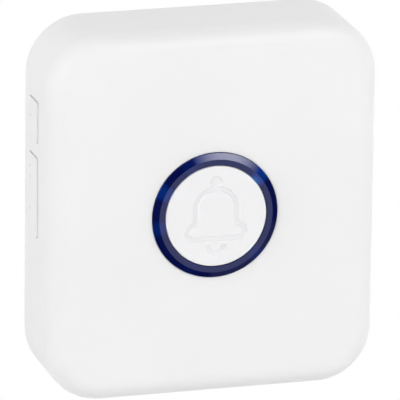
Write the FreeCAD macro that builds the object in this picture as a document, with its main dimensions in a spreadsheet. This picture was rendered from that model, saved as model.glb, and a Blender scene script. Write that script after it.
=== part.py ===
import FreeCAD, Part

import math
import os
from types import SimpleNamespace

import Sketcher

# A plug-in door chime: a flat white housing that hangs in a wall socket by two round pins.
# The front holds a lit ring with a round bell button in it, and the left wall holds a volume
# button and a melody rocker. The speaker faces the wall through slots in the rear cover.
#
# Frame: millimetres, +Z up, the front faces -Y, the pins point along +Y into the wall.
# The origin lies midway between the pins, on the end face of the plug body.
# "Depth" below is the distance in front of the rear face of the housing.

SIZES = (
    # alias, number, what it is
    ("housing_width", 79.0, "across the front"),
    ("housing_height", 88.0, "up the front"),
    ("housing_depth", 22.4, "rear face to front face, without plug and ring"),
    ("corner_radius", 13.2, "corners of the outline"),
    ("front_edge_radius", 5.0, "rounding between the front and the side walls"),
    ("rear_edge_radius", 0.5, "rounding of the rear edge"),
    ("wall", 2.2, "front and side walls"),
    ("rear_plate", 2.2, "rear cover plate"),
    ("seam_lip", 1.2, "wall left outside the rear cover"),
    ("seam_gap", 0.15, "between rear cover and lip"),
    ("pillar_inset", 9.0, "screw pillars, in from the outline"),
    ("pillar_radius", 2.8, "screw pillars"),
    ("pilot_spare", 2.8, "pilot hole beyond the end of the housing screw"),
    ("fit_gap", 0.02, "between a screw or pin and its hole"),
    ("housing_screw_radius", 1.25, "shank"),
    ("housing_screw_head", 2.4, "head radius"),
    ("housing_screw_bite", 8.0, "shank length in the pillar"),
    ("screw_sink", 1.2, "how deep the heads sit in the rear cover"),
    ("cross_length", 2.8, "cross recess of the heads, end to end"),
    ("cross_width", 0.7, "cross recess of the heads, each bar"),
    ("cross_depth", 0.8, "cross recess of the heads"),
    # light ring and bell button
    ("ring_outer_radius", 15.0, "outer edge of the light ring"),
    ("ring_width", 2.75, "outer to inner edge of the light ring"),
    ("ring_flat", 1.35, "flat band inside the bevel"),
    ("ring_rise", 1.1, "the flat band stands this far off the front"),
    ("ring_edge", 0.3, "upright edge outside the bevel"),
    ("ring_lip", 1.5, "flange behind the front wall"),
    ("ring_flange", 1.2, "flange thickness"),
    ("ring_gap", 0.1, "between the ring and its seat"),
    ("collar_wall", 1.2, "collar round the ring flange"),
    ("button_gap", 0.15, "between bell button and ring"),
    ("button_lip", 0.8, "flange that keeps the button in the ring"),
    ("button_seat_gap", 0.2, "between that flange and the ring at rest"),
    ("button_flange", 1.0, "flange thickness"),
    ("button_skirt", 1.3, "skirt wall of the bell button"),
    ("button_face", 1.8, "thickness of the bell button's face"),
    ("button_edge", 0.3, "rounding of the bell button's edge"),
    ("stem_radius", 1.6, "post that presses the switch"),
    # engraved bell
    ("groove_width", 1.4, "width of the engraved line"),
    ("groove_depth", 0.3, "depth of the engraved line"),
    ("groove_slope", 0.2, "slope of the line's walls, across"),
    ("dome_radius", 4.95, "bell dome, middle of the line"),
    ("dome_up", 1.65, "centre of the dome above the button's centre"),
    ("rim_reach", 5.25, "centre of the rim's round ends"),
    ("rim_drop", 3.85, "centre of the rim below the button's centre"),
    ("rim_radius", 1.65, "round ends of the rim"),
    ("flare_radius", 1.0, "between dome and rim"),
    ("clapper_radius", 2.05, "clapper arc"),
    ("clapper_drop", 6.75, "centre of the clapper arc"),
    ("clapper_width", 1.2, "width of the clapper's line"),
    ("knob_radius", 1.5, "knob on the dome"),
    ("knob_up", 8.2, "centre of the knob"),
    # side buttons
    ("window_forward", 0.8, "middle of the side windows, ahead of halfway from rear cover to main board"),
    ("window_width", 7.8, "side windows, along the depth"),
    ("window_corner", 0.9, "corners of the side windows"),
    ("volume_up", 21.7, "centre of the volume button above the middle of the front"),
    ("volume_length", 10.2, "window of the volume button"),
    ("rocker_up", 3.6, "centre of the melody rocker"),
    ("rocker_length", 19.5, "window of the melody rocker"),
    ("side_gap", 0.25, "round the side buttons"),
    ("side_rise", 0.35, "side buttons stand this far off the wall"),
    ("side_edge", 0.3, "rounding of the side buttons' edges"),
    ("side_seat_gap", 0.1, "between the volume flange and the wall"),
    ("side_flange", 1.2, "volume flange, thickness and overhang"),
    ("side_stem_radius", 1.5, "volume stem"),
    ("pivot_inset", 4.1, "rocker pin, in from the outside of the wall"),
    ("rocker_pin_radius", 0.8, "rocker pin"),
    ("rocker_lug_radius", 1.5, "lug and ear round the rocker pin"),
    ("rocker_pin_play", 0.06, "running play of the rocker on its pin"),
    ("rocker_inner_gap", 0.4, "rocker's inner face, in from the wall"),
    ("rocker_reach", 6.2, "melody switches, above and below the rocker pin"),
    ("nib_radius", 1.2, "nibs on the rocker"),
    ("nib_gap", 0.25, "nib to switch at rest, used up at full tilt"),
    ("ear_thickness", 1.5, "ear that holds the front end of the pin"),
    ("ear_gap", 0.3, "ear to window"),
    ("pin_foot_gap", 0.15, "rocker to the boss round the pin's rear end"),
    ("pin_sink", 2.4, "pin depth in that boss and the rear cover"),
    # switches
    ("switch_side", 6.0, "square body"),
    ("switch_tall", 3.5, "body height"),
    ("plunger_radius", 1.75, "plunger"),
    ("plunger_rise", 0.8, "plunger stands this far off the body"),
    ("plunger_sink", 0.8, "plunger length in the body"),
    ("plunger_room", 0.6, "free room behind the plunger"),
    ("plunger_gap", 0.05, "round the plunger"),
    # boards
    ("board_standoff", 6.2, "front wall to main board"),
    ("board_thickness", 1.6, "main board"),
    ("board_side_gap", 4.3, "side wall to main board"),
    ("board_end_gap", 3.3, "top and bottom walls to main board"),
    ("board_corner", 9.0, "corners of the main board"),
    ("board_notch_gap", 0.5, "main board round the pillars"),
    ("board_hole_gap", 0.1, "main board round its screws"),
    ("board_screw_across", 11.0, "board screws, in from the board's side edges"),
    ("board_screw_inset", 10.5, "board screws, in from the board's top and bottom edges"),
    ("board_screw_radius", 0.95, "shank"),
    ("board_screw_head", 2.0, "head radius"),
    ("board_screw_bite", 4.5, "shank length in the post"),
    ("board_screw_cap", 1.2, "head height"),
    ("post_radius", 2.4, "board posts"),
    ("side_board_inset", 8.9, "side board's outer face, in from the outside of the wall"),
    ("side_board_thickness", 1.2, "side board"),
    ("side_board_gap", 0.7, "rear cover to side board"),
    ("side_board_margin", 1.0, "side board beyond the windows"),
    ("header_side", 2.5, "header between the boards"),
    ("header_length", 12.0, "header between the boards"),
    # lamps
    ("lamp_side", 2.8, "square lamps"),
    ("lamp_tall", 1.9, "height of a lamp"),
    ("lamp_gap", 0.3, "lamp to diffuser"),
    ("diffuser_gap", 0.4, "diffuser to bell button flange"),
    # speaker
    ("speaker_radius", 14.0, "outer edge of the frame"),
    ("speaker_inset", 21.0, "centre above the bottom of the housing"),
    ("speaker_tall", 5.2, "frame depth"),
    ("speaker_rim", 2.2, "flat rim of the frame"),
    ("speaker_rim_thickness", 0.8, "sheet of the frame"),
    ("basket_radius", 9.0, "back of the basket"),
    ("magnet_radius", 6.4, "magnet"),
    ("magnet_rise", 1.4, "magnet behind the basket"),
    ("gasket_thickness", 0.5, "foam under the frame"),
    ("cone_thickness", 0.4, "diaphragm"),
    ("speaker_wall", 1.2, "wall round the speaker"),
    ("speaker_wall_tall", 3.6, "wall round the speaker"),
    ("speaker_gap", 0.15, "speaker to wall"),
    ("slot_width", 1.6, "speaker slots"),
    ("slot_pitch", 3.2, "speaker slots"),
    ("slot_margin", 2.6, "slots stay this far inside the speaker's edge"),
    ("tab_width", 8.0, "terminal tab of the speaker"),
    ("tab_reach", 3.4, "terminal tab of the speaker"),
    ("lead_radius", 0.6, "speaker leads"),
    ("lead_spacing", 4.0, "speaker leads"),
    # plug
    ("plug_rise", 14.0, "plug above the middle of the front"),
    ("boss_length", 16.0, "plug body, rear face of the housing to its end"),
    ("boss_width", 35.3, "plug body"),
    ("boss_height", 13.7, "plug body"),
    ("boss_corner", 5.1, "corners of the plug body"),
    ("boss_wall", 2.0, "plug body wall"),
    ("boss_floor", 3.0, "plug body end"),
    ("boss_edge", 0.8, "rounding of the plug body's end"),
    ("boss_root", 1.0, "rounding where the plug body meets the rear cover"),
    ("pin_spacing", 19.0, "between the pins' axes"),
    ("pin_radius", 2.0, "bare metal"),
    ("pin_length", 19.0, "beyond the plug body"),
    ("sleeve_length", 10.0, "insulating sleeve, beyond the plug body"),
    ("sleeve_radius", 1.8, "insulating sleeve"),
    ("core_radius", 1.4, "metal inside the sleeve"),
    ("tip_radius", 1.4, "rounding of the pins' tips"),
    ("pin_head_radius", 3.0, "head inside the plug body"),
    ("pin_head", 1.5, "head thickness"),
    ("tail_radius", 1.2, "tail behind the head"),
    ("tail_length", 5.0, "tail behind the head"),
    ("clamp_thickness", 2.0, "bar that clamps the pin heads"),
    ("clamp_margin", 0.6, "clamp bar to the plug body's inner wall"),
    ("clamp_screw_radius", 1.2, "clamp screw"),
    ("clamp_screw_head", 2.2, "clamp screw head"),
    ("clamp_screw_cap", 1.4, "clamp screw head height"),
    ("clamp_screw_bite", 3.2, "clamp screw in the plug body"),
    ("clamp_post_radius", 2.6, "post under the clamp bar"),
    ("mains_lead_radius", 0.9, "insulated leads from the pins"),
    # parts on the rear of the main board
    ("part_gap", 1.0, "between neighbours on the board"),
    ("tall_part_gap", 1.0, "between the tallest parts and the rear cover"),
    ("low_part_gap", 2.2, "between the next lower parts and the rear cover"),
    ("column_inset", 7.5, "middle of the power parts, in from the board's edge"),
    ("film_width", 13.0, "film capacitor"),
    ("film_thickness", 6.0, "film capacitor"),
    ("reservoir_radius", 4.0, "reservoir capacitor"),
    ("filter_radius", 3.15, "filter capacitor"),
    ("can_edge", 0.6, "rolled edge of a capacitor can"),
    ("diode_radius", 1.3, "diodes"),
    ("diode_length", 5.0, "diodes"),
    ("diode_pitch", 3.6, "diodes"),
    ("row_inset", 7.0, "row of parts, in from the board's top edge"),
    ("inductor_radius", 4.0, "drum inductor"),
    ("inductor_flange", 1.2, "drum inductor"),
    ("inductor_winding", 3.2, "drum inductor"),
    ("varistor_radius", 3.5, "varistor"),
    ("varistor_thickness", 3.4, "varistor"),
    ("fuse_radius", 1.6, "fuse resistor"),
    ("fuse_length", 9.0, "fuse resistor"),
    ("controller_width", 4.0, "controller chip"),
    ("controller_length", 10.0, "controller chip"),
    ("chip_tall", 1.5, "chips"),
    ("melody_chip_width", 5.0, "melody chip"),
    ("melody_chip_length", 4.0, "melody chip"),
    ("radio_width", 12.0, "radio board"),
    ("radio_length", 18.0, "radio board"),
    ("radio_thickness", 0.8, "radio board"),
    ("radio_chip_side", 5.0, "radio chip"),
    ("crystal_length", 10.0, "crystal can"),
    ("crystal_width", 4.6, "crystal can"),
    ("crystal_tall", 3.5, "crystal can"),
    ("antenna_radius", 2.4, "coil antenna, middle of the wire"),
    ("antenna_pitch", 1.8, "coil antenna"),
    ("antenna_wire", 0.4, "coil antenna, wire radius"),
)

ANTENNA_TURNS = 4
WIRE_SIDES = 6  # the coil's wire, kept light
LAMP_ANGLES = (42, 115, 160)  # degrees above and below the ring's right side
CLAPPER_SWEEP = 168  # degrees
DIODE_COUNT = 4


class Size:
    """A length that knows its number and the spreadsheet formula that gives it."""

    def __init__(self, formula, number):
        self.formula = formula
        self.number = number

    def __add__(self, other):
        other = sized(other)
        return Size(f"({self.formula} + {other.formula})", self.number + other.number)

    def __sub__(self, other):
        other = sized(other)
        return Size(f"({self.formula} - {other.formula})", self.number - other.number)

    def __mul__(self, other):
        other = sized(other)
        return Size(f"({self.formula} * {other.formula})", self.number * other.number)

    def __truediv__(self, other):
        other = sized(other)
        return Size(f"({self.formula} / {other.formula})", self.number / other.number)

    def __radd__(self, other):
        return sized(other) + self

    def __rsub__(self, other):
        return sized(other) - self

    def __rmul__(self, other):
        return sized(other) * self

    def __neg__(self):
        return Size(f"(0 - {self.formula})", -self.number)


def sized(value):
    """The same value as a Size, so that plain numbers mix with sheet sizes."""
    if isinstance(value, Size):
        return value
    return Size(f"{float(value):.6f}", float(value))


def half_chord(radius, offset):
    """Half the width of a circle at an offset from its centre."""
    number = math.sqrt(radius.number**2 - sized(offset).number ** 2)
    return Size(f"sqrt({(radius * radius - sized(offset) * sized(offset)).formula})", number)


# The document, its sheet and the sizes

doc = FreeCAD.newDocument("door_chime")
sheet = doc.addObject("Spreadsheet::Sheet", "Sizes")
for row, (alias, number, meaning) in enumerate(SIZES, 1):
    sheet.set(f"A{row}", alias)
    sheet.set(f"B{row}", str(number))
    sheet.set(f"C{row}", meaning)
    sheet.setAlias(f"B{row}", alias)
doc.recompute()
S = SimpleNamespace(**{alias: Size(f"Sizes.{alias}", number) for alias, number, _ in SIZES})

pieces = []


# Placing and binding


def bind(thing, name, value):
    """Tie a property to a size."""
    thing.setExpression(name, sized(value).formula)


def place(thing, across=0, depth=0, up=0, turn=None):
    """Put a piece's own origin at a point given from the middle of the housing's rear face."""
    thing.Placement = FreeCAD.Placement(FreeCAD.Vector(), turn or FreeCAD.Rotation())
    bind(thing, "Placement.Base.x", across)
    bind(thing, "Placement.Base.y", -(S.boss_length + depth))
    bind(thing, "Placement.Base.z", up - S.plug_rise)
    return thing


def name_piece(thing, name):
    """Give a finished piece its label and list it for export."""
    thing.Label = name
    pieces.append(thing)
    return thing


# Sketches


def new_sketch(body, role, offset):
    """A sketch on one of the body's own planes, moved along the plane's normal."""
    plane = next(f for f in body.Origin.OriginFeatures if f.Role == role)
    sketch = body.newObject("Sketcher::SketchObject", f"{body.Name}_sketch")
    sketch.AttachmentSupport = (plane, [""])
    sketch.MapMode = "FlatFace"
    bind(sketch, "AttachmentOffset.Base.z", offset)
    return sketch


def front_sketch(body, depth=0):
    """Seen from the front: across and up, at a depth towards the front."""
    return new_sketch(body, "XZ_Plane", depth)


def side_sketch(body, across=0):
    """Seen from the right: the first coordinate is minus the depth, the second is up."""
    return new_sketch(body, "YZ_Plane", across)


def plan_sketch(body, up=0):
    """Seen from above: across, and minus the depth."""
    return new_sketch(body, "XY_Plane", up)


def bound(sketch, constraint, value):
    index = sketch.addConstraint(constraint)
    bind(sketch, f"Constraints[{index}]", value)


def pin_point(sketch, shape, point, x, y):
    """Fix a point of a sketch shape at a place measured from the sketch's origin."""
    for kind, value, axis in (("DistanceX", sized(x), -2), ("DistanceY", sized(y), -1)):
        if abs(value.number) < 1e-9:
            sketch.addConstraint(Sketcher.Constraint("PointOnObject", shape, point, axis))
        else:
            constraint = Sketcher.Constraint(kind, -1, 1, shape, point, value.number)
            bound(sketch, constraint, value)


def vector(x, y):
    """A point of a sketch, as plain numbers."""
    return FreeCAD.Vector(sized(x).number, sized(y).number, 0)


def circle(sketch, x, y, radius):
    shape = Part.Circle(vector(x, y), FreeCAD.Vector(0, 0, 1), sized(radius).number)
    index = sketch.addGeometry(shape, False)
    pin_point(sketch, index, 3, x, y)
    bound(sketch, Sketcher.Constraint("Radius", index, sized(radius).number), radius)
    return index


def polygon(sketch, points):
    """A closed outline of straight lines, every corner fixed by its own two sizes."""
    lines = []
    for start, end in zip(points, points[1:] + points[:1]):
        lines.append(sketch.addGeometry(Part.LineSegment(vector(*start), vector(*end)), False))
    for line, following in zip(lines, lines[1:] + lines[:1]):
        sketch.addConstraint(Sketcher.Constraint("Coincident", line, 2, following, 1))
    for line, (x, y) in zip(lines, points):
        pin_point(sketch, line, 1, x, y)


def rectangle(sketch, x, y, width, height):
    left, right = x - width / 2, x + width / 2
    low, high = y - height / 2, y + height / 2
    polygon(sketch, [(left, low), (right, low), (right, high), (left, high)])


def arc(sketch, x, y, radius, start, end):
    """An arc about a centre, anticlockwise from one angle to the other, in radians."""
    whole = Part.Circle(vector(x, y), FreeCAD.Vector(0, 0, 1), sized(radius).number)
    return sketch.addGeometry(Part.ArcOfCircle(whole, start, end), False)


def tangent(sketch, first, first_point, second, second_point):
    sketch.addConstraint(Sketcher.Constraint("Tangent", first, first_point, second, second_point))


def rounded(sketch, x, y, width, height, radius):
    """A rectangle about a centre, with round corners."""
    x, y, width, height = sized(x), sized(y), sized(width), sized(height)
    near_x, near_y = width / 2 - radius, height / 2 - radius
    corners = []
    for quarter, (sign_x, sign_y) in enumerate(((1, 1), (-1, 1), (-1, -1), (1, -1))):
        centre = (x + sign_x * near_x, y + sign_y * near_y)
        start = quarter * math.pi / 2
        index = arc(sketch, *centre, radius, start, start + math.pi / 2)
        pin_point(sketch, index, 3, *centre)
        bound(sketch, Sketcher.Constraint("Radius", index, sized(radius).number), radius)
        corners.append(index)
    shapes = sketch.Geometry
    for corner, following in zip(corners, corners[1:] + corners[:1]):
        start, end = shapes[corner].EndPoint, shapes[following].StartPoint
        line = sketch.addGeometry(Part.LineSegment(start, end), False)
        tangent(sketch, corner, 2, line, 1)
        tangent(sketch, line, 2, following, 1)


def slot(sketch, x, y, length, width):
    """A level slot about a centre, with half-round ends."""
    x, y, radius = sized(x), sized(y), width / 2
    reach = length / 2 - radius
    right = arc(sketch, x + reach, y, radius, -math.pi / 2, math.pi / 2)
    left = arc(sketch, x - reach, y, radius, math.pi / 2, 3 * math.pi / 2)
    shapes = sketch.Geometry
    for start, end in ((right, left), (left, right)):
        ends = Part.LineSegment(shapes[start].EndPoint, shapes[end].StartPoint)
        line = sketch.addGeometry(ends, False)
        tangent(sketch, start, 2, line, 1)
        tangent(sketch, line, 2, end, 1)
    pin_point(sketch, right, 3, x + reach, y)
    pin_point(sketch, left, 3, x - reach, y)
    bound(sketch, Sketcher.Constraint("Radius", right, radius.number), radius)


# Features


def new_body(name):
    return name_piece(doc.addObject("PartDesign::Body", name), name)


def pad(body, sketch, length, along=True):
    """Raise a sketch along its normal, or against it."""
    feature = body.newObject("PartDesign::Pad", f"{body.Name}_pad")
    feature.Profile = sketch
    feature.Reversed = not along
    bind(feature, "Length", length)
    doc.recompute()
    return feature


def pocket(body, sketch, length, along=True):
    """Cut a sketch along its normal, or against it."""
    before = body.Tip.Shape.Volume
    feature = body.newObject("PartDesign::Pocket", f"{body.Name}_pocket")
    feature.Profile = sketch
    feature.Reversed = along
    bind(feature, "Length", length)
    doc.recompute()
    check_cut(body, before)
    return feature


def check_cut(body, before):
    """Stop where a cut has missed the solid."""
    if body.Tip.Shape.Volume >= before:
        raise RuntimeError(f"a cut in {body.Label} cuts nothing")


def turned(body, points):
    """A solid turned about the body's depth axis from corners given as radius and depth."""
    sketch = plan_sketch(body)
    polygon(sketch, [(radius, -sized(depth)) for radius, depth in points])
    feature = body.newObject("PartDesign::Revolution", f"{body.Name}_turned")
    feature.Profile = sketch
    feature.ReferenceAxis = (sketch, ["V_Axis"])
    feature.Angle = 360
    doc.recompute()
    return feature


def edges_at(feature, axis, level, inside=None):
    """Names of the edges that lie in the plane where an axis has a level."""
    names = []
    level = sized(level).number
    for index, edge in enumerate(feature.Shape.Edges, 1):
        points = edge.discretize(5)
        if any(abs(getattr(point, axis) - level) > 1e-4 for point in points):
            continue
        if inside is None or all(inside(point) for point in points):
            names.append(f"Edge{index}")
    return names


def fillet(body, feature, names, radius):
    rounding = body.newObject("PartDesign::Fillet", f"{body.Name}_fillet")
    rounding.Base = (feature, names)
    bind(rounding, "Radius", radius)
    doc.recompute()
    return rounding


def box(name, middle, size):
    """A block from the middle of its front face and its width, height and depth to the rear."""
    across, depth, up = middle
    width, height, tall = size
    block = name_piece(doc.addObject("Part::Box", name), name)
    bind(block, "Length", width)
    bind(block, "Width", tall)
    bind(block, "Height", height)
    place(block, across - width / 2, depth, up - height / 2)


def four(across, up):
    """The four places that mirror one another about the middle of the front."""
    return [(across, up), (-across, up), (-across, -up), (across, -up)]


# Places that several pieces share

front_inner = S.housing_depth - S.wall
ring_top = S.housing_depth + S.ring_rise
ring_inner_radius = S.ring_outer_radius - S.ring_width
ring_seat_radius = S.ring_outer_radius + S.ring_lip
ring_back = front_inner - S.ring_flange
board_front = front_inner - S.board_standoff
board_rear = board_front - S.board_thickness
collar_end = board_front + S.lamp_tall + S.lamp_gap
plunger_top = board_front + S.switch_tall + S.plunger_rise

half_width = S.housing_width / 2
half_height = S.housing_height / 2
speaker_drop = half_height - S.speaker_inset
board_half_width = half_width - S.wall - S.board_side_gap
board_half_height = half_height - S.wall - S.board_end_gap
pillars = four(half_width - S.pillar_inset, half_height - S.pillar_inset)
board_screw_places = four(
    board_half_width - S.board_screw_across, board_half_height - S.board_screw_inset
)

window_middle = (S.rear_plate + board_rear) / 2 + S.window_forward
cap_outer = -(half_width + S.side_rise)
side_board_face = -(half_width - S.side_board_inset)
side_plunger_top = side_board_face - S.switch_tall - S.plunger_rise
pivot_across = -(half_width - S.pivot_inset)
ear_start = window_middle + S.window_width / 2 + S.ear_gap
foot_end = window_middle - S.window_width / 2 + S.side_gap - S.pin_foot_gap

tall_part = board_rear - S.rear_plate - S.tall_part_gap
low_part = board_rear - S.rear_plate - S.low_part_gap
boss_floor_inner = S.boss_floor - S.boss_length  # depth of the plug body's inner floor
clamp_front = boss_floor_inner + S.pin_head + S.clamp_thickness
tail_end = boss_floor_inner + S.pin_head + S.tail_length
pin_across = S.pin_spacing / 2

# The floor of an engraved line and its open side in front of the face, as side sketches measure them.
groove_floor = S.groove_depth - ring_top
groove_open = -(S.groove_depth + ring_top)


# Housing


def make_front_cover():
    """The moulded shell: front face, side walls, ring seat, pillars, posts and side windows."""
    body = place(new_body("front_cover"))
    sketch = front_sketch(body)
    rounded(sketch, 0, 0, S.housing_width, S.housing_height, S.corner_radius)
    block = pad(body, sketch, S.housing_depth)
    front_edges = edges_at(block, "y", -S.housing_depth)
    outside = fillet(body, block, front_edges, S.front_edge_radius)
    rear_edges = edges_at(outside, "y", 0)
    outside = fillet(body, outside, rear_edges, S.rear_edge_radius)

    sketch = front_sketch(body)
    inner_width, inner_height = S.housing_width - 2 * S.wall, S.housing_height - 2 * S.wall
    rounded(sketch, 0, 0, inner_width, inner_height, S.corner_radius - S.wall)
    hollow = pocket(body, sketch, front_inner)
    floor_edges = edges_at(hollow, "y", -front_inner)
    fillet(body, hollow, floor_edges, S.front_edge_radius - S.wall)

    sketch = front_sketch(body)
    lip_width, lip_height = S.housing_width - 2 * S.seam_lip, S.housing_height - 2 * S.seam_lip
    rounded(sketch, 0, 0, lip_width, lip_height, S.corner_radius - S.seam_lip)
    pocket(body, sketch, S.rear_plate)

    sketch = front_sketch(body, collar_end)
    circle(sketch, 0, 0, ring_seat_radius + S.ring_gap + S.collar_wall)
    circle(sketch, 0, 0, ring_seat_radius + S.ring_gap)
    pad(body, sketch, front_inner - collar_end)

    sketch = front_sketch(body, front_inner)
    circle(sketch, 0, 0, S.ring_outer_radius + S.ring_gap)
    pocket(body, sketch, S.wall)

    sketch = front_sketch(body, S.rear_plate)
    for across, up in pillars:
        circle(sketch, across, up, S.pillar_radius)
    pad(body, sketch, front_inner - S.rear_plate)
    sketch = front_sketch(body, S.rear_plate)
    for across, up in pillars:
        circle(sketch, across, up, S.housing_screw_radius + S.fit_gap)
    pocket(body, sketch, S.housing_screw_bite + S.pilot_spare)

    sketch = front_sketch(body, board_front)
    for across, up in board_screw_places:
        circle(sketch, across, up, S.post_radius)
    pad(body, sketch, S.board_standoff)
    sketch = front_sketch(body, board_front)
    for across, up in board_screw_places:
        circle(sketch, across, up, S.board_screw_radius + S.fit_gap)
    pocket(body, sketch, S.board_screw_bite + S.fit_gap)

    sketch = side_sketch(body, -half_width)
    windows = ((S.volume_up, S.volume_length), (S.rocker_up, S.rocker_length))
    for up, length in windows:
        rounded(sketch, -window_middle, up, S.window_width, length, S.window_corner)
    pocket(body, sketch, S.wall)

    sketch = front_sketch(body, ear_start)
    ear_width = S.pivot_inset - S.wall
    rectangle(sketch, pivot_across - ear_width / 2, S.rocker_up, ear_width, 2 * S.rocker_lug_radius)
    pad(body, sketch, S.ear_thickness)
    sketch = front_sketch(body, ear_start)
    circle(sketch, pivot_across, S.rocker_up, S.rocker_lug_radius)
    pad(body, sketch, S.ear_thickness)
    sketch = front_sketch(body, ear_start)
    circle(sketch, pivot_across, S.rocker_up, S.rocker_pin_radius + S.fit_gap)
    pocket(body, sketch, S.ear_thickness)


def make_rear_cover():
    """The closing plate with the hollow plug body, the speaker's seat and the screw holes."""
    body = place(new_body("rear_cover"))
    inset = S.seam_lip + S.seam_gap
    sketch = front_sketch(body)
    width, height = S.housing_width - 2 * inset, S.housing_height - 2 * inset
    rounded(sketch, 0, 0, width, height, S.corner_radius - inset)
    pad(body, sketch, S.rear_plate)
    add_plug_body(body)

    sketch = front_sketch(body)
    for across, up in pillars:
        circle(sketch, across, up, S.housing_screw_radius + S.seam_gap)
    pocket(body, sketch, S.rear_plate)
    sketch = front_sketch(body)
    for across, up in pillars:
        circle(sketch, across, up, S.housing_screw_head + S.seam_gap)
    pocket(body, sketch, S.screw_sink)
    add_speaker_seat(body)

    sketch = front_sketch(body, S.rear_plate)
    circle(sketch, pivot_across, S.rocker_up, S.rocker_lug_radius)
    pad(body, sketch, foot_end - S.rear_plate)
    sketch = front_sketch(body, foot_end)
    circle(sketch, pivot_across, S.rocker_up, S.rocker_pin_radius + S.fit_gap)
    pocket(body, sketch, S.pin_sink, along=False)


def add_plug_body(body):
    """The hollow block behind the plate that carries the pins, with a post for its clamp."""
    sketch = front_sketch(body)
    rounded(sketch, 0, S.plug_rise, S.boss_width, S.boss_height, S.boss_corner)
    boss = pad(body, sketch, S.boss_length, along=False)
    boss = fillet(body, boss, edges_at(boss, "y", S.boss_length), S.boss_edge)
    reach = S.boss_width.number / 2 + 0.01

    def at_root(point):
        return abs(point.x) < reach and abs(point.z - S.plug_rise.number) < reach / 2

    fillet(body, boss, edges_at(boss, "y", 0, at_root), S.boss_root)

    sketch = front_sketch(body, S.rear_plate)
    width, height = S.boss_width - 2 * S.boss_wall, S.boss_height - 2 * S.boss_wall
    rounded(sketch, 0, S.plug_rise, width, height, S.boss_corner - S.boss_wall)
    pocket(body, sketch, S.rear_plate - boss_floor_inner, along=False)
    sketch = front_sketch(body, boss_floor_inner)
    circle(sketch, 0, S.plug_rise, S.clamp_post_radius)
    pad(body, sketch, S.pin_head)
    sketch = front_sketch(body, boss_floor_inner + S.pin_head)
    circle(sketch, 0, S.plug_rise, S.clamp_screw_radius + S.fit_gap)
    pocket(body, sketch, S.clamp_screw_bite + S.fit_gap, along=False)
    sketch = front_sketch(body, boss_floor_inner)
    for across in (pin_across, -pin_across):
        circle(sketch, across, S.plug_rise, S.sleeve_radius + S.fit_gap)
    pocket(body, sketch, S.boss_floor, along=False)


def add_speaker_seat(body):
    """A wall round the speaker, open where its terminals pass, and slots in front of it."""
    sketch = front_sketch(body, S.rear_plate)
    wall_radius = S.speaker_radius + S.speaker_gap
    circle(sketch, 0, -speaker_drop, wall_radius + S.speaker_wall)
    circle(sketch, 0, -speaker_drop, wall_radius)
    pad(body, sketch, S.speaker_wall_tall)
    sketch = front_sketch(body, S.rear_plate)
    opening = S.tab_width + 2 * S.seam_gap
    rectangle(sketch, sized(0), S.speaker_radius - speaker_drop, opening, 2 * S.tab_reach)
    pocket(body, sketch, S.speaker_wall_tall)
    cut_speaker_slots(body)


def cut_speaker_slots(body):
    """Round-ended slots that fill a circle in front of the speaker."""
    field = S.speaker_radius - S.slot_margin
    reach = int((field.number - S.slot_width.number) / S.slot_pitch.number)
    sketch = front_sketch(body)
    for step in range(-reach, reach + 1):
        offset = step * S.slot_pitch
        length = 2 * half_chord(field, offset)
        slot(sketch, 0, offset - speaker_drop, length, S.slot_width)
    pocket(body, sketch, S.rear_plate)


def make_housing_screws():
    body = place(new_body("housing_screws"))
    sketch = front_sketch(body, S.screw_sink)
    for across, up in pillars:
        circle(sketch, across, up, S.housing_screw_radius)
    pad(body, sketch, S.rear_plate - S.screw_sink + S.housing_screw_bite)
    sketch = front_sketch(body, S.screw_sink)
    for across, up in pillars:
        circle(sketch, across, up, S.housing_screw_head)
    pad(body, sketch, S.screw_sink, along=False)
    for width, height in ((S.cross_length, S.cross_width), (S.cross_width, S.cross_length)):
        sketch = front_sketch(body)
        for across, up in pillars:
            rectangle(sketch, across, up, width, height)
        pocket(body, sketch, S.cross_depth)


# Light ring and bell button


def make_light_ring():
    """Clear plastic ring: a low upright edge, a rising bevel, a flat band and a hidden flange."""
    body = place(new_body("light_ring"))
    turned(
        body,
        [
            (ring_inner_radius, ring_back),
            (ring_seat_radius, ring_back),
            (ring_seat_radius, front_inner),
            (S.ring_outer_radius, front_inner),
            (S.ring_outer_radius, S.housing_depth + S.ring_edge),
            (ring_inner_radius + S.ring_flat, ring_top),
            (ring_inner_radius, ring_top),
        ],
    )


def make_ring_diffuser():
    body = place(new_body("ring_diffuser"))
    inner = ring_inner_radius + S.button_lip + S.diffuser_gap
    turned(
        body,
        [
            (inner, collar_end),
            (ring_seat_radius, collar_end),
            (ring_seat_radius, ring_back),
            (inner, ring_back),
        ],
    )


def make_ring_lamps():
    """Lamps on the main board, in mirrored pairs where the ring glows."""
    body = place(new_body("ring_lamps"))
    inner = ring_inner_radius + S.button_lip + S.diffuser_gap
    middle = (inner + ring_seat_radius) / 2
    sketch = front_sketch(body, board_front)
    for angle in LAMP_ANGLES:
        across = middle * math.cos(math.radians(angle))
        up = middle * math.sin(math.radians(angle))
        rectangle(sketch, across, up, S.lamp_side, S.lamp_side)
        rectangle(sketch, across, -up, S.lamp_side, S.lamp_side)
    pad(body, sketch, S.lamp_tall)


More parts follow.
